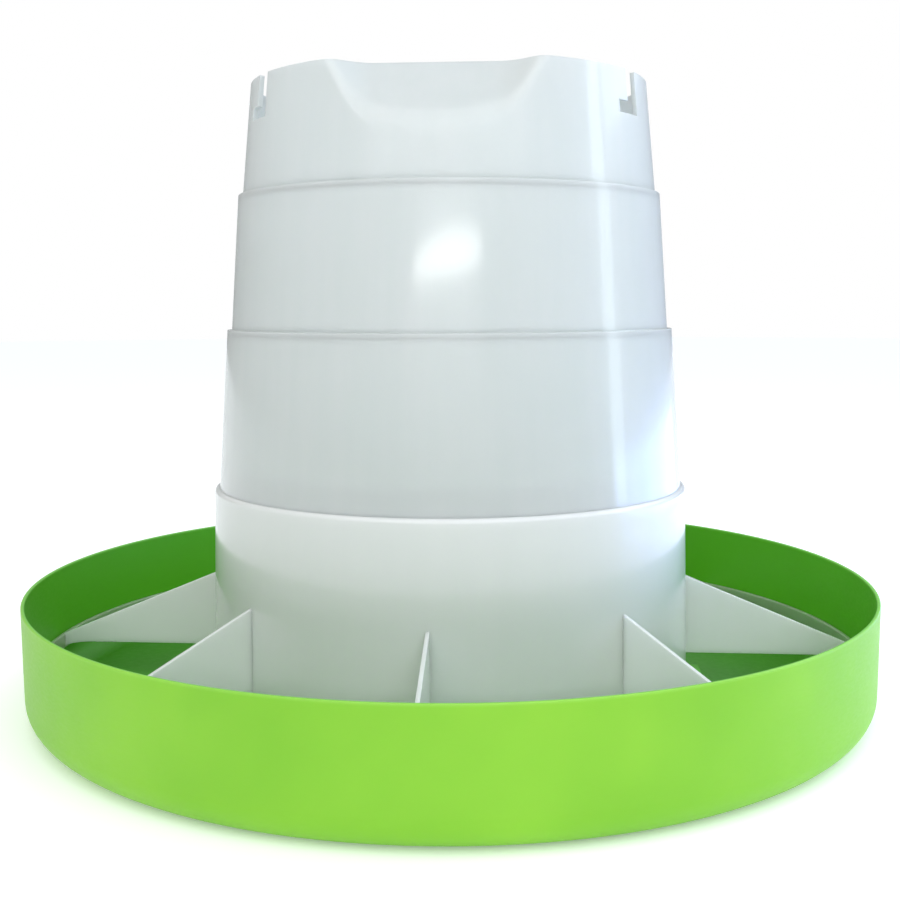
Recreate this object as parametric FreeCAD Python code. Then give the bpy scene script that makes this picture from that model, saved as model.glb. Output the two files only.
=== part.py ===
"""Poultry tube feeder: a round feed pan, a finned grill turned into hooks on the pan's floor, and a
stepped, translucent hopper tube that stands on the grill's collar.

Frame: millimetres, +Z up, origin at the centre of the pan's underside, -Y towards the front.
Angles are degrees about +Z, counted from the front (-Y) towards the right (+X).
"""
import FreeCAD, Part
import math
import os

# --- Pan ---------------------------------------------------------------------------------------
PAN_RIM_R = 190.3          # outside radius at the rim
PAN_HEIGHT = 51.7
PAN_DRAFT = 0.3            # the wall leans out by this much over its height
PAN_WALL = 1.6
PAN_FLOOR = 2.0
PAN_FOOT_ROUND = 12.5      # rounding between the wall and the underside

# --- Cone in the middle of the pan, which pushes the feed outwards ---------------------------------
CONE_R = 74.0
CONE_HEIGHT = 34.0         # above the pan's floor
CONE_TOP_R = 14.0
CONE_WALL = 2.0
CONE_FLANGE = 6.0

# --- Hopper tube ---------------------------------------------------------------------------------
TUBE_WALL = 2.0
TUBE_TOP_R = 87.2          # outside radius at the rim
TUBE_BANDS = (             # from the rim down: height of the band, and how much it widens downwards
    (47.6, 4.5),
    (58.5, 4.1),
    (69.9, 4.9),
)
TUBE_STEP = 2.0            # each step between two bands widens the tube by this much
TUBE_STEP_ROUND = 1.6

SCOOP_ANGLE = -3.85        # the finger scoop is at the front
SCOOP_DEPTH = 24.2         # below the rim, at the outside of the wall
SCOOP_FLOOR = 59.0         # width of its flat floor

SLOT_COUNT = 3
SLOT_FIRST = 58.8
SLOT_WIDTH = 9.0
SLOT_DEPTH = 18.0
SLOT_FOOT_WIDTH = 7.0      # the slot's foot reaches this far to one side
SLOT_FOOT_HEIGHT = 5.2

# --- Grill: collar, fins and ring ----------------------------------------------------------------
FEED_GAP = 15.0            # free height between the pan's floor and the collar
COLLAR_HEIGHT = 79.5       # from the feed gap to the shoulder that the tube stands on
COLLAR_WALL = 2.0
COLLAR_DRAFT = 1.7         # the collar is this much wider at its foot than at its shoulder
SHOULDER_LEDGE = 2.2       # the collar stands out this far under the tube
SHOULDER_ROUND = 2.0
SPIGOT_HEIGHT = 11.0       # the neck that stands up inside the hopper tube
SPIGOT_WALL = 2.0
SPIGOT_FIT = 0.3           # clearance between the neck and the tube

FIN_COUNT = 8
FIN_FIRST = -4.7           # angle of the fin at the front
FIN_THICK = 2.0
FIN_ROOT_HEIGHT = 36.3     # height of the fin along the collar
FIN_TIP_ROUND = 15.0       # the bottom edge runs down to the ring over this length
FIN_TIP_STEPS = 6

RING_DROP = 3.2            # the ring reaches this far below the fins' bottom edge
RING_HEIGHT = 7.0
RING_THICK = 2.0
RING_FIT = 0.5             # clearance between the ring and the pan's wall

# --- Twist lock: feet on the collar, hooks on the pan's floor --------------------------------------
LOCK_COUNT = 4
LOCK_FIRST = -4.7          # the first foot stands under the front fin
FOOT_WIDTH = 16.0
FOOT_FLOOR_FIT = 0.2
TAB_REACH = 4.4            # the foot's tab stands out this far
TAB_THICK = 3.0
HOOK_WIDTH = 19.0
HOOK_WALL = 2.4
HOOK_ROOF = 2.6
HOOK_FIT = 0.5             # clearance between tab and hook all round
HOOK_STOP = 2.2            # the closed end that the tab turns against
HOOK_PAD = 5.0             # low pad outside the hook's wall
HOOK_PAD_HEIGHT = 1.5

# --- Sizes that follow from those above --------------------------------------------------------------
PAN_FOOT_R = PAN_RIM_R - PAN_DRAFT
COLLAR_FOOT_Z = PAN_FLOOR + FEED_GAP
SHOULDER_Z = COLLAR_FOOT_Z + COLLAR_HEIGHT
TUBE_TOP_Z = SHOULDER_Z + sum(height for height, widening in TUBE_BANDS)
TUBE_FOOT_R = (TUBE_TOP_R + sum(widening for height, widening in TUBE_BANDS)
               + TUBE_STEP * (len(TUBE_BANDS) - 1))
COLLAR_TOP_R = TUBE_FOOT_R + SHOULDER_LEDGE
COLLAR_FOOT_R = COLLAR_TOP_R + COLLAR_DRAFT
FIN_ROOT_Z = COLLAR_FOOT_Z + FIN_ROOT_HEIGHT
RING_BOTTOM_Z = COLLAR_FOOT_Z - RING_DROP
RING_TOP_Z = RING_BOTTOM_Z + RING_HEIGHT

UP = FreeCAD.Vector(0, 0, 1)
CENTRE = FreeCAD.Vector(0, 0, 0)


def save(shape, node):
    """Write one sub-part."""
    shape.exportStep(os.path.join("parts", node + ".step"))


def turned(profile, angle=360.0):
    """Turn an outline of (radius, height) points about the feeder's axis."""
    points = [FreeCAD.Vector(r, 0, z) for r, z in profile]
    face = Part.Face(Part.makePolygon(points + points[:1]))
    return face.revolve(CENTRE, UP, angle)


def at_angle(shape, angle):
    """Turn a shape that was made pointing along +X to an angle counted from the front."""
    copy = shape.copy()
    copy.rotate(CENTRE, UP, angle - 90.0)
    return copy


def lerp(a, b, t):
    return a + (b - a) * t


def round_edges(shape, radius, wanted):
    """Round the edges that a test picks out."""
    return shape.makeFillet(radius, [edge for edge in shape.Edges if wanted(edge)])


def is_circle_at(edge, radius, z):
    curve = edge.Curve
    return (isinstance(curve, Part.Circle) and abs(curve.Radius - radius) < 0.01
            and abs(curve.Center.z - z) < 0.01)


# --- Pan --------------------------------------------------------------------------------------------------
def pan_outer_r(z):
    return lerp(PAN_FOOT_R, PAN_RIM_R, z / PAN_HEIGHT)


def pan_inner_r(z):
    return pan_outer_r(z) - PAN_WALL


def make_pan():
    pan = turned([
        (0, 0), (PAN_FOOT_R, 0), (PAN_RIM_R, PAN_HEIGHT), (pan_inner_r(PAN_HEIGHT), PAN_HEIGHT),
        (pan_inner_r(PAN_FLOOR), PAN_FLOOR), (0, PAN_FLOOR),
    ])
    pan = round_edges(pan, PAN_FOOT_ROUND, lambda e: is_circle_at(e, PAN_FOOT_R, 0))
    inner_round = PAN_FOOT_ROUND - PAN_WALL
    return round_edges(pan, inner_round, lambda e: is_circle_at(e, pan_inner_r(PAN_FLOOR), PAN_FLOOR))


def make_cone():
    """A hollow cone with a flat flange that lies on the pan's floor."""
    base = PAN_FLOOR
    top = PAN_FLOOR + CONE_HEIGHT
    body_r = CONE_R - CONE_FLANGE
    return turned([
        (body_r - CONE_WALL, base), (CONE_R, base), (CONE_R, base + CONE_WALL),
        (body_r, base + CONE_WALL), (CONE_TOP_R, top), (0, top),
        (0, top - CONE_WALL), (CONE_TOP_R - CONE_WALL / 2, top - CONE_WALL),
    ])


# --- Grill ------------------------------------------------------------------------------------------------
def collar_outer_r(z):
    """Outside of the collar, carried on below its foot for the feet."""
    return lerp(COLLAR_FOOT_R, COLLAR_TOP_R, (z - COLLAR_FOOT_Z) / COLLAR_HEIGHT)


def collar_inner_r(z):
    return collar_outer_r(z) - COLLAR_WALL


def make_collar():
    low_band_height, low_band_widening = TUBE_BANDS[-1]
    spigot_r = TUBE_FOOT_R - TUBE_WALL - SPIGOT_FIT
    spigot_draw = SPIGOT_HEIGHT * low_band_widening / low_band_height
    spigot_top = SHOULDER_Z + SPIGOT_HEIGHT
    underside = SHOULDER_Z - COLLAR_WALL
    outline = [
        (collar_inner_r(COLLAR_FOOT_Z), COLLAR_FOOT_Z), (COLLAR_FOOT_R, COLLAR_FOOT_Z),
        (COLLAR_TOP_R, SHOULDER_Z), (spigot_r, SHOULDER_Z), (spigot_r - spigot_draw, spigot_top),
        (spigot_r - spigot_draw - SPIGOT_WALL, spigot_top),
        (spigot_r - SPIGOT_WALL, underside), (collar_inner_r(underside), underside),
    ]
    collar = turned(outline)
    return round_edges(collar, SHOULDER_ROUND, lambda e: is_circle_at(e, COLLAR_TOP_R, SHOULDER_Z))


def sector(profile, width, radius):
    """A turned outline as wide as stated at a radius, centred on +X."""
    angle = math.degrees(width / radius)
    piece = turned(profile, angle)
    piece.rotate(CENTRE, UP, -angle / 2)
    return piece


def make_foot():
    """A foot under the collar, as thick as its wall, with an outward tab at its end."""
    low = PAN_FLOOR + FOOT_FLOOR_FIT
    tab_top = low + TAB_THICK
    outer = collar_outer_r(tab_top)
    return sector([
        (collar_inner_r(low), low), (outer + TAB_REACH, low), (outer + TAB_REACH, tab_top),
        (outer, tab_top), (COLLAR_FOOT_R, COLLAR_FOOT_Z),
        (collar_inner_r(COLLAR_FOOT_Z), COLLAR_FOOT_Z),
    ], FOOT_WIDTH, COLLAR_FOOT_R)


def make_hook():
    """An inward hook on the pan's floor, closed at one end, which the foot's tab turns under.

    The foot stands on +X when it is locked, with its tab against the closed end.
    """
    tab_top = PAN_FLOOR + FOOT_FLOOR_FIT + TAB_THICK
    collar_r = collar_outer_r(tab_top)
    roof = tab_top + HOOK_FIT
    top = roof + HOOK_ROOF
    wall_in = collar_r + TAB_REACH + HOOK_FIT
    wall_out = wall_in + HOOK_WALL
    pad_z = PAN_FLOOR + HOOK_PAD_HEIGHT
    mouth_r = collar_outer_r(PAN_FLOOR) + HOOK_FIT
    stop_edge = -math.degrees((FOOT_WIDTH / 2 + HOOK_FIT) / COLLAR_FOOT_R)
    hook = sector([
        (wall_in, PAN_FLOOR), (wall_out + HOOK_PAD, PAN_FLOOR), (wall_out + HOOK_PAD, pad_z),
        (wall_out, pad_z), (wall_out, top), (mouth_r, top), (mouth_r, roof), (wall_in, roof),
    ], HOOK_WIDTH, wall_in)
    hook.rotate(CENTRE, UP, stop_edge + math.degrees(HOOK_WIDTH / 2 / wall_in))
    stop = sector([
        (mouth_r, PAN_FLOOR), (wall_out, PAN_FLOOR), (wall_out, top), (mouth_r, top),
    ], HOOK_STOP, wall_in)
    stop.rotate(CENTRE, UP, stop_edge - math.degrees(HOOK_STOP / 2 / wall_in))
    return hook.fuse(stop).removeSplitter()


def ring_outer_r(z):
    return pan_inner_r(z) - RING_FIT


def make_ring():
    return turned([
        (ring_outer_r(RING_BOTTOM_Z) - RING_THICK, RING_BOTTOM_Z),
        (ring_outer_r(RING_BOTTOM_Z), RING_BOTTOM_Z),
        (ring_outer_r(RING_TOP_Z), RING_TOP_Z),
        (ring_outer_r(RING_TOP_Z) - RING_THICK, RING_TOP_Z),
    ])


def make_fin():
    """An upright plate from the collar's wall to the ring, its bottom edge level with the collar's foot."""
    tip_r = ring_outer_r(RING_TOP_Z) - RING_THICK
    tip_low_r = ring_outer_r(RING_BOTTOM_Z) - RING_THICK
    drop = COLLAR_FOOT_Z - RING_BOTTOM_Z
    outline = [(collar_outer_r(FIN_ROOT_Z), FIN_ROOT_Z), (COLLAR_FOOT_R, COLLAR_FOOT_Z)]
    for i in range(FIN_TIP_STEPS + 1):
        turn = math.radians(90.0 * i / FIN_TIP_STEPS)
        outline += [(tip_low_r - FIN_TIP_ROUND * (1 - math.sin(turn)),
                     COLLAR_FOOT_Z - drop * (1 - math.cos(turn)))]
    outline += [(tip_r, RING_TOP_Z)]
    points = [FreeCAD.Vector(r, -FIN_THICK / 2, z) for r, z in outline]
    face = Part.Face(Part.makePolygon(points + points[:1]))
    return face.extrude(FreeCAD.Vector(0, FIN_THICK, 0))


# --- Hopper tube --------------------------------------------------------------------------------------------
def tube_solid(inset):
    """The space inside the tube's outside, moved in by a wall and rounded at its steps."""
    r = TUBE_TOP_R
    z = TUBE_TOP_Z
    outline = [(0, z), (r - inset, z)]
    corners = []
    for height, widening in TUBE_BANDS[:-1]:
        r += widening
        z -= height
        outline += [(r - inset, z - inset), (r + TUBE_STEP - inset, z - inset)]
        r += TUBE_STEP
        corners += [(r - inset, z - inset)]
    outline += [(TUBE_FOOT_R - inset, SHOULDER_Z), (0, SHOULDER_Z)]
    return round_edges(turned(outline), TUBE_STEP_ROUND, lambda edge: any(
        is_circle_at(edge, corner_r, corner_z) for corner_r, corner_z in corners))


def scoop_prism(wall):
    """The space that the finger scoop takes out of the tube, grown by a wall.

    It is a trough with a flat floor and sides that lean out by 45 degrees, and it climbs inwards
    and upwards at 45 degrees from the outside of the tube to the rim.
    """
    top_height, top_widening = TUBE_BANDS[0]
    wall_r = TUBE_TOP_R + SCOOP_DEPTH * top_widening / top_height
    floor_z = TUBE_TOP_Z - SCOOP_DEPTH - wall * math.sqrt(2)
    # the side planes move by sqrt(3) walls across, and the lowered floor takes back sqrt(2) of it
    half = SCOOP_FLOOR / 2 + wall * (math.sqrt(3) - math.sqrt(2))
    flare = 2 * SCOOP_DEPTH
    outside = TUBE_TOP_R / 4
    start_r = wall_r + outside
    start_z = floor_z - outside
    section = [
        FreeCAD.Vector(start_r, -half, start_z), FreeCAD.Vector(start_r, half, start_z),
        FreeCAD.Vector(start_r, half + flare, start_z + flare),
        FreeCAD.Vector(start_r, -half - flare, start_z + flare),
    ]
    length = outside + 2 * SCOOP_DEPTH
    face = Part.Face(Part.makePolygon(section + section[:1]))
    prism = face.extrude(FreeCAD.Vector(-length, 0, length))
    return at_angle(prism, SCOOP_ANGLE)


def make_slot():
    """The room of one hooked slot: an upright cut from the rim with a foot at its lower end."""
    depth = 6 * TUBE_WALL
    start_r = TUBE_TOP_R - depth / 2
    low = TUBE_TOP_Z - SLOT_DEPTH
    upright = Part.makeBox(depth, SLOT_WIDTH, SLOT_DEPTH + 1, FreeCAD.Vector(start_r, -SLOT_WIDTH / 2, low))
    foot = Part.makeBox(depth, SLOT_FOOT_WIDTH + SLOT_WIDTH, SLOT_FOOT_HEIGHT,
                        FreeCAD.Vector(start_r, -SLOT_WIDTH / 2 - SLOT_FOOT_WIDTH, low))
    return upright.fuse(foot)


def make_tube():
    outer = tube_solid(0).cut(scoop_prism(0))
    inner = tube_solid(TUBE_WALL).cut(scoop_prism(TUBE_WALL))
    tube = outer.cut(inner)
    for i in range(SLOT_COUNT):
        tube = tube.cut(at_angle(make_slot(), SLOT_FIRST + i * 360.0 / SLOT_COUNT))
    return tube


def main():
    os.makedirs("parts", exist_ok=True)
    save(make_pan(), "feed_pan")
    save(make_cone(), "spreader_cone")
    save(make_collar(), "grill_collar")
    for i in range(LOCK_COUNT):
        angle = LOCK_FIRST + i * 360.0 / LOCK_COUNT
        save(at_angle(make_hook(), angle), "pan_hook_%d" % (i + 1))
        save(at_angle(make_foot(), angle), "grill_foot_%d" % (i + 1))
    for i in range(FIN_COUNT):
        fin = at_angle(make_fin(), FIN_FIRST + i * 360.0 / FIN_COUNT)
        save(fin, "grill_fin_%d" % (i + 1))
    save(make_ring(), "grill_ring")
    save(make_tube(), "hopper_tube")


main()
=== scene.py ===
import math

import bmesh
import bpy
from mathutils import Matrix, Vector


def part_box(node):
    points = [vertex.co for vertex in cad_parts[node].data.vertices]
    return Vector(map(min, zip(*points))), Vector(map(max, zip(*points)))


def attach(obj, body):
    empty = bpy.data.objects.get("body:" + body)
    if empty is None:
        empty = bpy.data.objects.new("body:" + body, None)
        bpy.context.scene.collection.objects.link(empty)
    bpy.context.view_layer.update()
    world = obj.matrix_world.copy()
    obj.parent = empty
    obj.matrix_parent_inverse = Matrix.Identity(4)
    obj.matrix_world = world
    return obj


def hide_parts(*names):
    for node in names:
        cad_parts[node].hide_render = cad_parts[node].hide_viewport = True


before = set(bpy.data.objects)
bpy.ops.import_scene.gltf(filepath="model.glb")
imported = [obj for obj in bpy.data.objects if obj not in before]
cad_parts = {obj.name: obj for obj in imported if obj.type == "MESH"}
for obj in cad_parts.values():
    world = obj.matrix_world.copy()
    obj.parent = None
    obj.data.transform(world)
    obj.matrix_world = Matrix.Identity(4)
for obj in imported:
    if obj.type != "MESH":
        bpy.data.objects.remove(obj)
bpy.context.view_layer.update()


# --- Feed pan ------------------------------------------------------------------------------------
# A shallow round pan, injection moulded in green polypropylene through a gate under its middle.
# Its wall leans out a little, so that it leaves the mould. It stands on a flat band round its edge,
# with the middle raised clear of the ground.
PAN_WALL = 0.0016
PAN_FLOOR = 0.002
PAN_DRAFT = 0.0003            # the wall leans out by this much over its height
PAN_FOOT_ROUND = 0.0125
PAN_RIM_ROUND = 0.0006
PAN_BEND = 10                 # faces across each of the pan's roundings
STANDING_BAND_IN = 0.150      # inner radius of the band that the pan stands on
STANDING_BAND_ROUND = 0.0004
MIDDLE_RAISED = 0.0008
GATE_R = 0.004                # the mark that the gate leaves under the middle
GATE_DEPTH = 0.0004
GATE_SLOPE = 0.0002
GATE_ROUND = 0.0001
RIM_HIGHLIGHT_HEIGHT = 0.0015           # height of the painted highlight along the rim
LIT_OUTSIDE_REACH = 0.020         # how far in from the rim's radius a face can get the painted light of the outside
FLOOR_SHADE_HEIGHT = 0.010          # the painted shade on the floor fades out over this height
SAME_POINT = 1e-6             # points closer than this are one
AROUND = 288                  # sides of a turned piece
BEND = 6                      # faces across each rounding of a turned piece
pan_low, pan_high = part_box("feed_pan")
rim_r = (pan_high[0] - pan_low[0]) / 2
foot_r = rim_r - PAN_DRAFT
inner_rim_r = rim_r - PAN_WALL


def turned(outline, closed=False, around=AROUND, bend=BEND):
    """Spin (radius, height, rounding) points about the feeder's axis into a mesh."""
    bm = bmesh.new()
    points = [bm.verts.new((r, 0, z)) for r, z, rounding in outline]
    ends = zip(points, points[1:] + points[:1]) if closed else zip(points, points[1:])
    for start, end in ends:
        bm.edges.new((start, end))
    for point, (r, z, rounding) in zip(points, outline):
        if rounding:
            bmesh.ops.bevel(bm, geom=[point], offset=rounding, offset_type="OFFSET",
                            affect="VERTICES", segments=bend, profile=0.5, material=-1)
    bmesh.ops.spin(bm, geom=bm.verts[:] + bm.edges[:], cent=(0, 0, 0), axis=(0, 0, 1),
                   dvec=(0, 0, 0), angle=2 * math.pi, steps=around, use_merge=True)
    bmesh.ops.remove_doubles(bm, verts=bm.verts[:], dist=SAME_POINT)
    bmesh.ops.recalc_face_normals(bm, faces=bm.faces[:])
    return bm


def piece_from(bm, name, material, body, slot, *nodes):
    """Make a finished piece that stands for CAD nodes and moves with their body."""
    for face in bm.faces:
        face.smooth = True
    mesh = bpy.data.meshes.new(name)
    bm.to_mesh(mesh)
    bm.free()
    piece = bpy.data.objects.new(name, mesh)
    bpy.context.collection.objects.link(piece)
    piece.data.materials.append(material)
    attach(piece, body)
    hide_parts(*nodes)
    return piece


def weigh_normals(piece):
    """Keep large faces flat between rounded edges."""
    weigh = piece.modifiers.new("even_shading", "WEIGHTED_NORMAL")
    weigh.keep_sharp = True
    weigh.weight = 60


def linear(hex_colour):
    """An sRGB hex colour as linear RGBA."""
    channels = [int(hex_colour[i:i + 2], 16) / 255 for i in (1, 3, 5)]
    return [c / 12.92 if c <= 0.04045 else ((c + 0.055) / 1.055) ** 2.4 for c in channels] + [1.0]


def add_node(tree, kind, inputs=None, **settings):
    """Add a shader node, set its fields, then set or link its inputs."""
    added = tree.nodes.new(kind)
    for field, value in settings.items():
        setattr(added, field, value)
    for socket, value in (inputs or {}).items():
        if isinstance(value, bpy.types.NodeSocket):
            tree.links.new(value, added.inputs[socket])
        else:
            added.inputs[socket].default_value = value
    return added


def green_polypropylene():
    """Moulded polypropylene, pigmented green: satin, with slightly cloudy flow marks, a very fine
    orange peel and faint dull scuffs. The outside is painted paler as if lit and the inside darker
    as if shaded; the floor inside gets painted shade and the rim a painted highlight."""
    material = bpy.data.materials.new("green_moulded_polypropylene")
    material.use_nodes = True
    tree = material.node_tree
    tree.nodes.clear()
    coordinates = add_node(tree, "ShaderNodeTexCoord")
    place = coordinates.outputs["Object"]
    height = add_node(tree, "ShaderNodeSeparateXYZ", {"Vector": place}).outputs["Z"]
    # flow marks are 40 to 60 mm across
    cloud = add_node(tree, "ShaderNodeTexNoise", {
        "Vector": place, "Scale": 20.0, "Detail": 2.0, "Roughness": 0.5})
    tint = add_node(tree, "ShaderNodeMix", {
        "Factor": cloud.outputs["Fac"], "A": linear("#6FB414"), "B": linear("#8CCA29")},
        data_type="RGBA")
    # the outside of the wall gets a paler copy of the green, as if lit, and the rest a darker copy,
    # as if shaded: painted light and shade
    flat = add_node(tree, "ShaderNodeVectorMath", {
        0: place, 1: (1.0, 1.0, 0.0)}, operation="MULTIPLY")
    reach = add_node(tree, "ShaderNodeVectorMath", {
        0: flat.outputs["Vector"]}, operation="LENGTH")
    outward = add_node(tree, "ShaderNodeVectorMath", {
        0: flat.outputs["Vector"]}, operation="NORMALIZE")
    facing = add_node(tree, "ShaderNodeVectorMath", {
        0: outward.outputs["Vector"], 1: coordinates.outputs["Normal"]}, operation="DOT_PRODUCT")
    faces_out = add_node(tree, "ShaderNodeMapRange", {
        "Value": facing.outputs["Value"], "From Min": 0.0, "From Max": 0.3})
    at_wall = add_node(tree, "ShaderNodeMath", {
        0: reach.outputs["Value"], 1: rim_r - LIT_OUTSIDE_REACH}, operation="GREATER_THAN")
    painted_lit_outside = add_node(tree, "ShaderNodeMath", {
        0: faces_out.outputs["Result"], 1: at_wall.outputs["Value"]}, operation="MULTIPLY")
    # painted shade darkens the floor inside the pan, and not what lies lower, which is the underside
    low_down = add_node(tree, "ShaderNodeMapRange", {
        "Value": height, "From Min": PAN_FLOOR, "From Max": PAN_FLOOR + FLOOR_SHADE_HEIGHT,
        "To Min": 1.0, "To Max": 0.0})
    above_floor = add_node(tree, "ShaderNodeMath", {
        0: height, 1: PAN_FLOOR * 0.75}, operation="GREATER_THAN")
    painted_floor_shade = add_node(tree, "ShaderNodeMath", {
        0: low_down.outputs["Result"], 1: above_floor.outputs["Value"]}, operation="MULTIPLY")
    # painted shade: the inside is a darker copy of the green, darkest on the floor
    painted_shade_inside = add_node(tree, "ShaderNodeMix", {
        "Factor": painted_floor_shade.outputs["Value"], "A": linear("#54B008"), "B": linear("#3A8804")},
        data_type="RGBA")
    lit_and_shaded_faces = add_node(tree, "ShaderNodeMix", {
        "Factor": painted_lit_outside.outputs["Value"],
        "A": painted_shade_inside.outputs["Result"], "B": tint.outputs["Result"]}, data_type="RGBA")
    # a painted highlight makes the top of the wall paler
    rim = add_node(tree, "ShaderNodeMapRange", {
        "Value": height, "From Min": pan_high[2] - RIM_HIGHLIGHT_HEIGHT, "From Max": pan_high[2],
        "To Min": 0.0, "To Max": 0.25}, interpolation_type="SMOOTHSTEP")
    rim_highlighted = add_node(tree, "ShaderNodeMix", {
        "Factor": rim.outputs["Result"], "A": lit_and_shaded_faces.outputs["Result"],
        "B": linear("#A9DF74")}, data_type="RGBA")
    # scuffs are about 3 mm long and lie level
    level = add_node(tree, "ShaderNodeMapping", {"Vector": place, "Scale": (1.0, 1.0, 3.0)})
    scuff = add_node(tree, "ShaderNodeTexNoise", {
        "Vector": level.outputs["Vector"], "Scale": 320.0, "Detail": 3.0, "Roughness": 0.5})
    dull = add_node(tree, "ShaderNodeMapRange", {
        "Value": scuff.outputs["Fac"], "From Min": 0.3, "From Max": 0.7,
        "To Min": 0.42, "To Max": 0.50})
    # orange peel is drawn at 1.5 mm, about twice its real size, so that it shows
    peel = add_node(tree, "ShaderNodeTexNoise", {
        "Vector": place, "Scale": 660.0, "Detail": 1.0})
    bump = add_node(tree, "ShaderNodeBump", {
        "Height": peel.outputs["Fac"], "Strength": 0.04, "Distance": 0.0002})
    surface = add_node(tree, "ShaderNodeBsdfPrincipled", {
        "Base Color": rim_highlighted.outputs["Result"], "Roughness": dull.outputs["Result"],
        "Normal": bump.outputs["Normal"], "IOR": 1.49,
        "Subsurface Weight": 0.15, "Subsurface Radius": (0.4, 1.0, 0.2), "Subsurface Scale": 0.003})
    add_node(tree, "ShaderNodeOutputMaterial", {"Surface": surface.outputs["BSDF"]})
    return material


green = green_polypropylene()
pan = turned([
    (0, PAN_FLOOR, 0),
    (inner_rim_r - PAN_DRAFT, PAN_FLOOR, PAN_FOOT_ROUND - PAN_WALL),
    (inner_rim_r, pan_high[2], PAN_RIM_ROUND),
    (rim_r, pan_high[2], PAN_RIM_ROUND),
    (foot_r, 0, PAN_FOOT_ROUND),
    (STANDING_BAND_IN, 0, STANDING_BAND_ROUND),
    (STANDING_BAND_IN - MIDDLE_RAISED, MIDDLE_RAISED, STANDING_BAND_ROUND),
    (GATE_R + GATE_SLOPE, MIDDLE_RAISED, GATE_ROUND),
    (GATE_R, MIDDLE_RAISED + GATE_DEPTH, GATE_ROUND),
    (0, MIDDLE_RAISED + GATE_DEPTH, 0),
], bend=PAN_BEND)
pan_piece = piece_from(pan, "pan_shell", green, "pan", "pan_green", "feed_pan")
weigh_normals(pan_piece)


# --- Hooks on the pan's floor --------------------------------------------------------------------
# Four inward hooks moulded with the pan. Each is closed at one end, and the grill's feet turn
# under them. Their edges are slightly rounded, as every moulded edge is.
HOOKS = 4
MOULDED_EDGE = 0.0004
FLAT_WITHIN = math.radians(0.5)      # faces that differ by less than this become one
EDGE_OVER = math.radians(35)         # edges sharper than this are rounded


def softened_copy(node):
    """A merged copy of a CAD node with its flat faces cleaned, ready for rounded edges."""
    bm = bmesh.new()
    bm.from_mesh(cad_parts[node].data)
    bmesh.ops.remove_doubles(bm, verts=bm.verts[:], dist=SAME_POINT)
    bmesh.ops.dissolve_limit(bm, angle_limit=FLAT_WITHIN, verts=bm.verts[:], edges=bm.edges[:])
    return bm


def round_moulded_edges(piece):
    """Give a piece's sharp edges the small rounding that a mould gives."""
    bevel = piece.modifiers.new("moulded_edges", "BEVEL")
    bevel.width = MOULDED_EDGE
    bevel.segments = 3
    bevel.limit_method = "ANGLE"
    bevel.angle_limit = EDGE_OVER


for number in range(1, HOOKS + 1):
    node = "pan_hook_%d" % number
    hook_piece = piece_from(softened_copy(node), "hook_%d" % number, green, "pan",
                            "pan_green", node)
    round_moulded_edges(hook_piece)
    weigh_normals(hook_piece)


# --- Spreader cone -------------------------------------------------------------------------------
# A hollow cone in the same green plastic that drops into the middle of the pan and sends the feed
# outwards to the gap. Its flange lies flat on the pan's floor.
CONE_WALL = 0.002
CONE_FLANGE = 0.006
CONE_FLANGE_ROUND = 0.0006
CONE_SOLE_ROUND = 0.0004
CONE_FOOT_ROUND = 0.002
CONE_TOP_R = 0.014
CONE_TOP_ROUND = 0.006
CONE_INSIDE_ROUND = 0.004
CONE_AROUND = 144
cone_low, cone_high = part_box("spreader_cone")
flange_r = (cone_high[0] - cone_low[0]) / 2
cone_body_r = flange_r - CONE_FLANGE
cone = turned([
    (cone_body_r - CONE_WALL, cone_low[2], 0),
    (flange_r, cone_low[2], CONE_SOLE_ROUND),
    (flange_r, cone_low[2] + CONE_WALL, CONE_FLANGE_ROUND),
    (cone_body_r, cone_low[2] + CONE_WALL, CONE_FOOT_ROUND),
    (CONE_TOP_R, cone_high[2], CONE_TOP_ROUND),
    (0, cone_high[2], 0),
    (0, cone_high[2] - CONE_WALL, 0),
    (CONE_TOP_R - CONE_WALL / 2, cone_high[2] - CONE_WALL, CONE_INSIDE_ROUND),
], closed=True, around=CONE_AROUND)
cone_piece = piece_from(cone, "cone", green, "pan", "pan_green", "spreader_cone")
weigh_normals(cone_piece)


# --- Grill collar and feet -----------------------------------------------------------------------
# The grill's collar is the lowest band of the feeder, moulded in natural polypropylene. The tube
# stands on its shoulder round a neck, and four feet below it turn under the pan's hooks.
FEET = 4
COLLAR_WALL = 0.002
COLLAR_DRAFT = 0.0017
COLLAR_EDGE_ROUND = 0.0006
SHOULDER_ROUND = 0.002
SHOULDER_INSIDE_ROUND = 0.0015
NECK_CLEARANCE = 0.0023       # from the outside of the tube's foot to the neck
NECK_DRAFT = 0.0008
NECK_FOOT_ROUND = 0.0004
NECK_INSIDE_ROUND = 0.001


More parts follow.
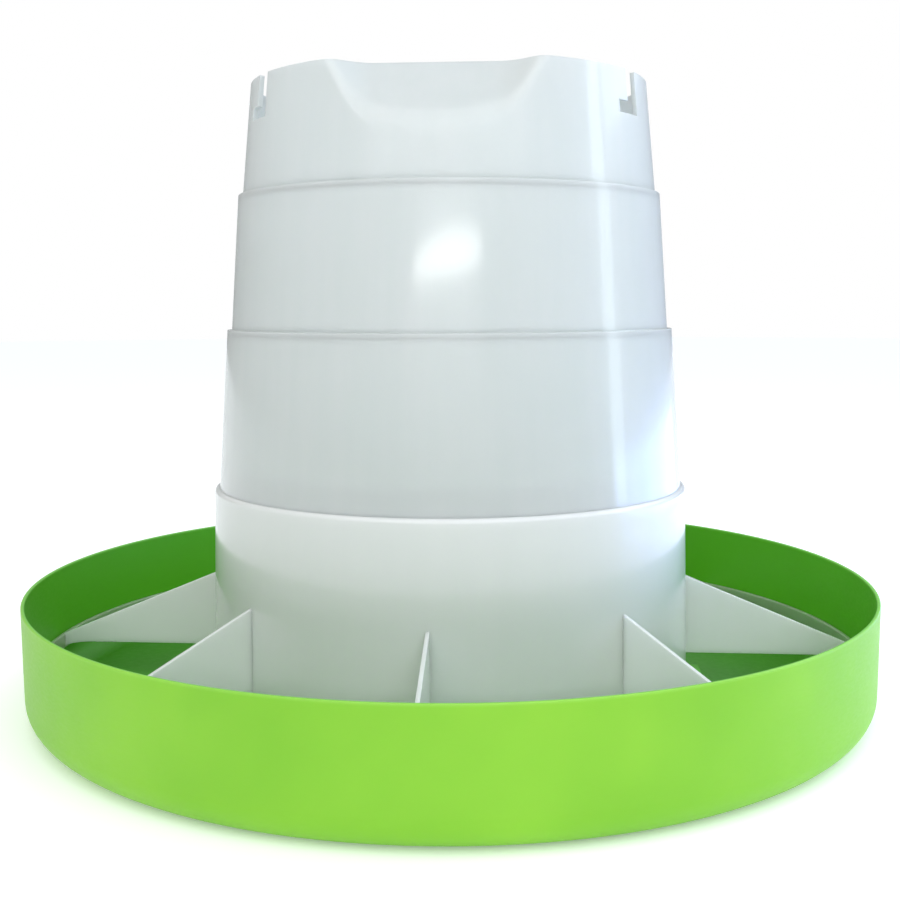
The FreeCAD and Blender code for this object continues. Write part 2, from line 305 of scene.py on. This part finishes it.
def natural_polypropylene(name, cloudy, clear, see_through):
    """Moulded polypropylene without pigment: milky, it lets light through but no clear image.
    Faint upright flow lines and clouding from the mould, a soft sheen and a fine haze of scuffs.
    The colour runs from cloudy to clear, and see_through is the share of light that goes through."""
    material = bpy.data.materials.new(name)
    material.use_nodes = True
    tree = material.node_tree
    tree.nodes.clear()
    place = add_node(tree, "ShaderNodeTexCoord").outputs["Object"]
    # clouds are about 40 mm across
    cloud = add_node(tree, "ShaderNodeTexNoise", {
        "Vector": place, "Scale": 24.0, "Detail": 3.0, "Roughness": 0.5})
    # flow lines are about 8 mm apart and run up the wall
    upright = add_node(tree, "ShaderNodeMapping", {"Vector": place, "Scale": (1.0, 1.0, 0.06)})
    flow = add_node(tree, "ShaderNodeTexNoise", {
        "Vector": upright.outputs["Vector"], "Scale": 130.0, "Detail": 2.0, "Roughness": 0.5})
    mixed = add_node(tree, "ShaderNodeMath", {0: cloud.outputs["Fac"], 1: flow.outputs["Fac"]},
                     operation="MULTIPLY")
    tint = add_node(tree, "ShaderNodeMix", {
        "Factor": mixed.outputs["Value"], "A": linear(clear), "B": linear(cloudy)},
        data_type="RGBA")
    # scuffs are about 2 mm long
    scuff = add_node(tree, "ShaderNodeTexNoise", {
        "Vector": place, "Scale": 480.0, "Detail": 4.0, "Roughness": 0.6})
    dull = add_node(tree, "ShaderNodeMapRange", {
        "Value": scuff.outputs["Fac"], "From Min": 0.3, "From Max": 0.75,
        "To Min": 0.29, "To Max": 0.35})
    bump = add_node(tree, "ShaderNodeBump", {
        "Height": flow.outputs["Fac"], "Strength": 0.05, "Distance": 0.0004})
    surface = add_node(tree, "ShaderNodeBsdfPrincipled", {
        "Base Color": tint.outputs["Result"], "Roughness": dull.outputs["Result"],
        "Normal": bump.outputs["Normal"], "IOR": 1.49, "Transmission Weight": see_through,
        "Subsurface Weight": 0.7, "Subsurface Radius": (1.0, 1.0, 0.95), "Subsurface Scale": 0.007,
        "Coat Weight": 0.7, "Coat Roughness": 0.09, "Coat IOR": 1.49})
    add_node(tree, "ShaderNodeOutputMaterial", {"Surface": surface.outputs["BSDF"]})
    return material


collar_low, collar_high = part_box("grill_collar")
tube_low, tube_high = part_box("hopper_tube")
collar_foot_r = (collar_high[0] - collar_low[0]) / 2
collar_top_r = collar_foot_r - COLLAR_DRAFT
shoulder_z = tube_low[2]
tube_foot_r = (tube_high[0] - tube_low[0]) / 2
neck_r = tube_foot_r - NECK_CLEARANCE
# the grill's walls are milkier than the tube's
milky = natural_polypropylene("milky_moulded_polypropylene", "#FDFEFD", "#F6FAF7", 0.15)
collar = turned([
    (collar_foot_r - COLLAR_WALL, collar_low[2], COLLAR_EDGE_ROUND),
    (collar_foot_r, collar_low[2], COLLAR_EDGE_ROUND),
    (collar_top_r, shoulder_z, SHOULDER_ROUND),
    (neck_r, shoulder_z, NECK_FOOT_ROUND),
    (neck_r - NECK_DRAFT, collar_high[2], COLLAR_EDGE_ROUND),
    (neck_r - NECK_DRAFT - COLLAR_WALL, collar_high[2], COLLAR_EDGE_ROUND),
    (neck_r - COLLAR_WALL, shoulder_z - COLLAR_WALL, NECK_INSIDE_ROUND),
    (collar_top_r - COLLAR_WALL, shoulder_z - COLLAR_WALL, SHOULDER_INSIDE_ROUND),
], closed=True)
collar_piece = piece_from(collar, "collar", milky, "grill", "clear_polypropylene", "grill_collar")
weigh_normals(collar_piece)
for number in range(1, FEET + 1):
    node = "grill_foot_%d" % number
    foot_piece = piece_from(softened_copy(node), "foot_%d" % number, milky, "grill",
                            "clear_polypropylene", node)
    round_moulded_edges(foot_piece)
    weigh_normals(foot_piece)


# --- Grill ring and fins -------------------------------------------------------------------------
# Eight upright fins run from the collar to a thin ring that lies just inside the pan's wall, all one
# moulding with the collar. A fin is thinner along its top edge, so that it leaves the mould.
FINS = 8
RING_WALL = 0.002
RING_FOOT_ROUND = 0.0006
RING_TOP_ROUND = 0.0007
FIN_FOOT_THICK = 0.002
FIN_TOP_THICK = 0.0016
FIN_TIP_ROUND = 0.015
FIN_TIP_STEP = 15             # degrees between the points of the rounding at a fin's tip
FIN_BITE = 0.0008             # how far a fin runs into the collar and the ring
ring_low, ring_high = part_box("grill_ring")
ring_top_r = (ring_high[0] - ring_low[0]) / 2
ring_lean = PAN_DRAFT * (ring_high[2] - ring_low[2]) / pan_high[2]
ring = turned([
    (ring_top_r - ring_lean - RING_WALL, ring_low[2], RING_FOOT_ROUND),
    (ring_top_r - ring_lean, ring_low[2], RING_FOOT_ROUND),
    (ring_top_r, ring_high[2], RING_TOP_ROUND),
    (ring_top_r - RING_WALL, ring_high[2], RING_TOP_ROUND),
], closed=True)
# the ring is painted green for the green wall's light that shines through it, since the ring lies
# close to that wall
ring_painted_green_light = natural_polypropylene("thin_polypropylene_painted_green_light", "#D6EEC4", "#C0E2A8", 0.6)
ring_piece = piece_from(ring, "ring", ring_painted_green_light, "grill", "clear_polypropylene", "grill_ring")
weigh_normals(ring_piece)


def fin(angle, root_z, foot_z):
    """An upright plate along +X from the collar to the ring, turned to its angle."""
    bm = bmesh.new()
    tip_r = ring_top_r - RING_WALL + FIN_BITE
    tip_low_r = tip_r - ring_lean
    outline = [(collar_foot_r - FIN_BITE, foot_z), (tip_low_r - FIN_TIP_ROUND, foot_z)]
    for turn in [math.radians(degrees) for degrees in range(FIN_TIP_STEP, 91, FIN_TIP_STEP)]:
        outline += [(tip_low_r - FIN_TIP_ROUND * (1 - math.sin(turn)),
                     foot_z - (foot_z - ring_low[2]) * (1 - math.cos(turn)))]
    outline += [(tip_r, ring_high[2]), (collar_foot_r - FIN_BITE, root_z)]
    plate = bm.faces.new([bm.verts.new((r, 0, z)) for r, z in outline])
    # the plate's copy is marked by its y, and then both move to half the thickness
    thick = bmesh.ops.extrude_face_region(bm, geom=[plate], use_keep_orig=True)
    for vert in thick["geom"]:
        if isinstance(vert, bmesh.types.BMVert):
            vert.co.y = 1.0
    for vert in bm.verts:
        side = 1 if vert.co.y else -1
        lift = (vert.co.z - ring_low[2]) / (root_z - ring_low[2])
        vert.co.y = side * (FIN_FOOT_THICK + (FIN_TOP_THICK - FIN_FOOT_THICK) * lift) / 2
    bmesh.ops.recalc_face_normals(bm, faces=bm.faces[:])
    bmesh.ops.rotate(bm, verts=bm.verts[:], cent=(0, 0, 0),
                     matrix=Matrix.Rotation(angle - math.pi / 2, 3, "Z"))
    return bm


for number in range(1, FINS + 1):
    node = "grill_fin_%d" % number
    fin_low, fin_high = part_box(node)
    angle = math.atan2(fin_low[0] + fin_high[0], -(fin_low[1] + fin_high[1]))
    fin_piece = piece_from(fin(angle, fin_high[2], collar_low[2]), "fin_%d" % number, milky,
                           "grill", "clear_polypropylene", node)
    round_moulded_edges(fin_piece)
    weigh_normals(fin_piece)


# --- Hopper tube ---------------------------------------------------------------------------------
# The tube that holds the feed: three bands of thin natural polypropylene, each a step wider than
# the one above, so that it leaves the mould. A scoop pressed into the rim takes the fingers, and
# three hooked slots take a lid's tabs.
TUBE_WALL = 0.002
TUBE_RIM_R = 0.0872
TUBE_BANDS = ((0.0476, 0.0045), (0.0585, 0.0041), (0.0699, 0.0049))   # height, widening downwards
TUBE_STEP = 0.002
TUBE_STEP_ROUND = 0.0016
STEP_ROOT_ROUND = 0.0004
SCOOP_ANGLE = math.radians(-3.85)
SCOOP_DEPTH = 0.0242
SCOOP_FLOOR = 0.059
SCOOP_SOFTEN = 0.0055
SLOT_FIRST = math.radians(58.8)
SLOT_WIDTH = 0.009
SLOT_DEPTH = 0.018
SLOT_FOOT_WIDTH = 0.007
SLOT_FOOT_HEIGHT = 0.0052
SLOTS = 3
ROW = 0.0015                  # height of a row of faces in the rim band
TUBE_AROUND = 360             # sides of the tube
FALL_TOGETHER = 0.00001       # points this close after rounding become one


def tube_outside():
    """The tube's outside as (radius, height, rounding) points from the rim down, rows and all."""
    r, z = TUBE_RIM_R, tube_high[2]
    outline = []
    rows = round(TUBE_BANDS[0][0] / ROW)
    for band, (height, widening) in enumerate(TUBE_BANDS):
        parts = rows if band == 0 else 1
        for row in range(parts):
            share = row / parts
            outline += [(r + widening * share, z - height * share,
                         STEP_ROOT_ROUND if band and row == 0 else 0)]
        r += widening
        z -= height
        if band < len(TUBE_BANDS) - 1:
            outline += [(r, z, STEP_ROOT_ROUND), (r + TUBE_STEP, z, TUBE_STEP_ROUND)]
            r += TUBE_STEP
    return outline + [(tube_foot_r, tube_low[2], 0)]


def soft_min(a, b, blend):
    """The smaller of two values, with the change from one to the other rounded over."""
    near = max(blend - abs(a - b), 0) / blend
    return min(a, b) - near * near * blend / 4


def compass(angle):
    """The outward direction at an angle from the front, and the direction across it."""
    return (Vector((math.sin(angle), -math.cos(angle), 0)),
            Vector((math.cos(angle), math.sin(angle), 0)))


def press_scoop(bm):
    """Push the rim band's wall in at the front to a ramp with leaning sides."""
    outward, across = compass(SCOOP_ANGLE)
    band_height, band_widening = TUBE_BANDS[0]
    wall_r = TUBE_RIM_R + SCOOP_DEPTH * band_widening / band_height
    scoop_low = tube_high[2] - SCOOP_DEPTH
    for vert in bm.verts:
        reach = vert.co.dot(outward)
        if vert.co.z < tube_high[2] - band_height or reach < 0:
            continue
        past_floor = abs(vert.co.dot(across)) - SCOOP_FLOOR / 2
        side = -soft_min(0, -past_floor, SCOOP_SOFTEN)
        ramp = wall_r - (vert.co.z - scoop_low) + side
        vert.co += outward * (soft_min(reach, ramp, SCOOP_SOFTEN) - reach)


def cut_slot(bm, angle):
    """Cut an upright slot down from the rim, with a foot to one side at its lower end."""
    outward, across = compass(angle)
    up = Vector((0, 0, 1))
    low = tube_high[2] - SLOT_DEPTH
    foot_top = low + SLOT_FOOT_HEIGHT
    foot_side = -SLOT_WIDTH / 2 - SLOT_FOOT_WIDTH
    cuts = [(across * side, across) for side in (SLOT_WIDTH / 2, -SLOT_WIDTH / 2, foot_side)]
    cuts += [(up * height, up) for height in (low, foot_top)]
    for point, normal in cuts:
        around_slot = [face for face in bm.faces
                       if face.calc_center_median().z > low - SLOT_FOOT_HEIGHT
                       and abs(face.calc_center_median().dot(across)) < 2 * SLOT_DEPTH
                       and face.calc_center_median().dot(outward) > 0]
        geom = {part for face in around_slot for part in (face, *face.edges, *face.verts)}
        bmesh.ops.bisect_plane(bm, geom=list(geom), dist=SAME_POINT,
                               plane_co=point, plane_no=normal)
    opened = []
    for face in bm.faces:
        middle = face.calc_center_median()
        side = middle.dot(across)
        in_upright = abs(side) < SLOT_WIDTH / 2 and middle.z > low
        in_foot = foot_side < side < 0 and low < middle.z < foot_top
        if middle.dot(outward) > 0 and (in_upright or in_foot):
            opened.append(face)
    bmesh.ops.delete(bm, geom=opened, context="FACES")


natural = natural_polypropylene("natural_moulded_polypropylene", "#F4F6F6", "#E6EEEC", 0.35)
tube = turned(tube_outside(), around=TUBE_AROUND)
press_scoop(tube)
for slot in range(SLOTS):
    cut_slot(tube, SLOT_FIRST + slot * 2 * math.pi / SLOTS)
tube_piece = piece_from(tube, "tube", natural, "tube", "clear_polypropylene", "hopper_tube")
wall = tube_piece.modifiers.new("wall", "SOLIDIFY")
wall.thickness = TUBE_WALL
wall.offset = -1
wall.use_even_offset = True
round_moulded_edges(tube_piece)
# the rounding leaves a few faces without area, where points fall together
join = tube_piece.modifiers.new("joined_points", "WELD")
join.merge_threshold = FALL_TOGETHER
weigh_normals(tube_piece)


# --- Studio --------------------------------------------------------------------------------------
# A white floor that glows faintly, so that it stays white, under a large soft light overhead. Cool
# windows at the right give the strip on the tube and the paler right side, and a narrow lamp in
# front gives the bright spot. The walls of the room are brighter at the right than at the left.
FLOOR_R = 6.0
FLOOR_GAP = 0.0002            # keeps the floor and the pan's standing band apart
FLOOR_GLOW = 0.2              # strength of the floor's own light
CAMERA_PLACE = Vector((0, -0.5767, 0.1777))    # as high as the middle of the tube
CAMERA_AIM = Vector((0, 0, 0.1105))
CAMERA_ROLL = math.radians(-0.23)
CAMERA_LENS = 50.33           # millimetres, as the sensor is
CAMERA_SENSOR = 36

floor_bm = bmesh.new()
bmesh.ops.create_circle(floor_bm, cap_ends=True, radius=FLOOR_R, segments=96,
                        matrix=Matrix.Translation((0, 0, -FLOOR_GAP)))
floor_mesh = bpy.data.meshes.new("floor")
floor_bm.to_mesh(floor_mesh)
floor_bm.free()
floor = bpy.data.objects.new("floor", floor_mesh)
bpy.context.collection.objects.link(floor)
# matt white paper, with no sheen or pattern of its own
paper = bpy.data.materials.new("white_paper")
paper.use_nodes = True
paper_surface = paper.node_tree.nodes["Principled BSDF"]
paper_surface.inputs["Base Color"].default_value = linear("#FBFBFB")
paper_surface.inputs["Roughness"].default_value = 0.8
paper_surface.inputs["Emission Color"].default_value = linear("#FFFFFF")
paper_surface.inputs["Emission Strength"].default_value = FLOOR_GLOW
floor.data.materials.append(paper)


def looking(place, aim):
    """The turn that points an object's -Z from one point at another."""
    return (aim - place).to_track_quat("-Z", "Y").to_matrix().to_4x4()


def soft_light(name, place, aim, width, height, watts, colour, tilt=0.0, shape="RECTANGLE"):
    """Hang a flat light that faces a point, tilted about the line to it by so many degrees."""
    light = bpy.data.lights.new(name, "AREA")
    light.shape = shape
    light.size = width
    light.size_y = height
    light.energy = watts
    light.color = linear(colour)[:3]
    lamp = bpy.data.objects.new(name, light)
    lamp.matrix_world = (Matrix.Translation(place) @ looking(Vector(place), Vector(aim))
                         @ Matrix.Rotation(math.radians(tilt), 4, "Z"))
    bpy.context.collection.objects.link(lamp)


soft_light("window", place=(1.3, -0.10, 0.45), aim=(0, 0, 0.15),
           width=0.20, height=0.9, watts=1.8, colour="#E4F4FF")
soft_light("low_window", place=(0.58, 0.21, 0.055), aim=(0, 0, 0.04),
           width=0.70, height=0.09, watts=1.1, colour="#7FA8FF")
soft_light("side_window", place=(1.0, 0.40, 0.75), aim=(0, 0, 0.05),
           width=0.80, height=0.5, watts=3.0, colour="#D4E6FF")
soft_light("lamp", place=(-0.02, -1.6, 0.47), aim=(0, 0, 0.17),
           width=1.0, height=0.07, watts=2.2, colour="#FFFFFF", tilt=2.0, shape="ELLIPSE")
soft_light("overhead", place=(0, -0.9, 1.2), aim=(0, 0, 0.05),
           width=2.4, height=1.6, watts=10.0, colour="#FFFFFF")

surroundings = bpy.data.worlds.new("white_surroundings")
bpy.context.scene.world = surroundings
surroundings.use_nodes = True
sky = surroundings.node_tree
sky.nodes.clear()
# in the surroundings, Object coordinates are the direction looked in
towards = add_node(sky, "ShaderNodeSeparateXYZ", {
    "Vector": add_node(sky, "ShaderNodeTexCoord").outputs["Object"]})
side = add_node(sky, "ShaderNodeMapRange", {
    "Value": towards.outputs["X"], "From Min": -0.8, "From Max": 0.9})
walls = add_node(sky, "ShaderNodeMix", {
    "Factor": side.outputs["Result"], "A": linear("#D4D4D0"), "B": linear("#E8F2FC")},
    data_type="RGBA")
# the room is brighter overhead than near the floor
above = add_node(sky, "ShaderNodeMapRange", {
    "Value": towards.outputs["Z"], "From Min": 0.1, "From Max": 0.6,
    "To Min": 0.55, "To Max": 1.2})
# the camera itself sees a plain white backdrop
seen = add_node(sky, "ShaderNodeLightPath").outputs["Is Camera Ray"]
room = add_node(sky, "ShaderNodeBackground", {
    "Color": walls.outputs["Result"], "Strength": above.outputs["Result"]})
backdrop = add_node(sky, "ShaderNodeBackground", {"Color": linear("#FFFFFF"), "Strength": 1.0})
lit = add_node(sky, "ShaderNodeMixShader", {
    0: seen, 1: room.outputs["Background"], 2: backdrop.outputs["Background"]})
add_node(sky, "ShaderNodeOutputWorld", {"Surface": lit.outputs["Shader"]})
bpy.context.scene.view_settings.view_transform = "Standard"

camera_data = bpy.data.cameras.new("camera")
camera_data.lens = CAMERA_LENS
camera_data.sensor_width = CAMERA_SENSOR
camera = bpy.data.objects.new("camera", camera_data)
bpy.context.collection.objects.link(camera)
camera.matrix_world = (Matrix.Translation(CAMERA_PLACE) @ looking(CAMERA_PLACE, CAMERA_AIM)
                       @ Matrix.Rotation(CAMERA_ROLL, 4, "Z"))
bpy.context.scene.camera = camera
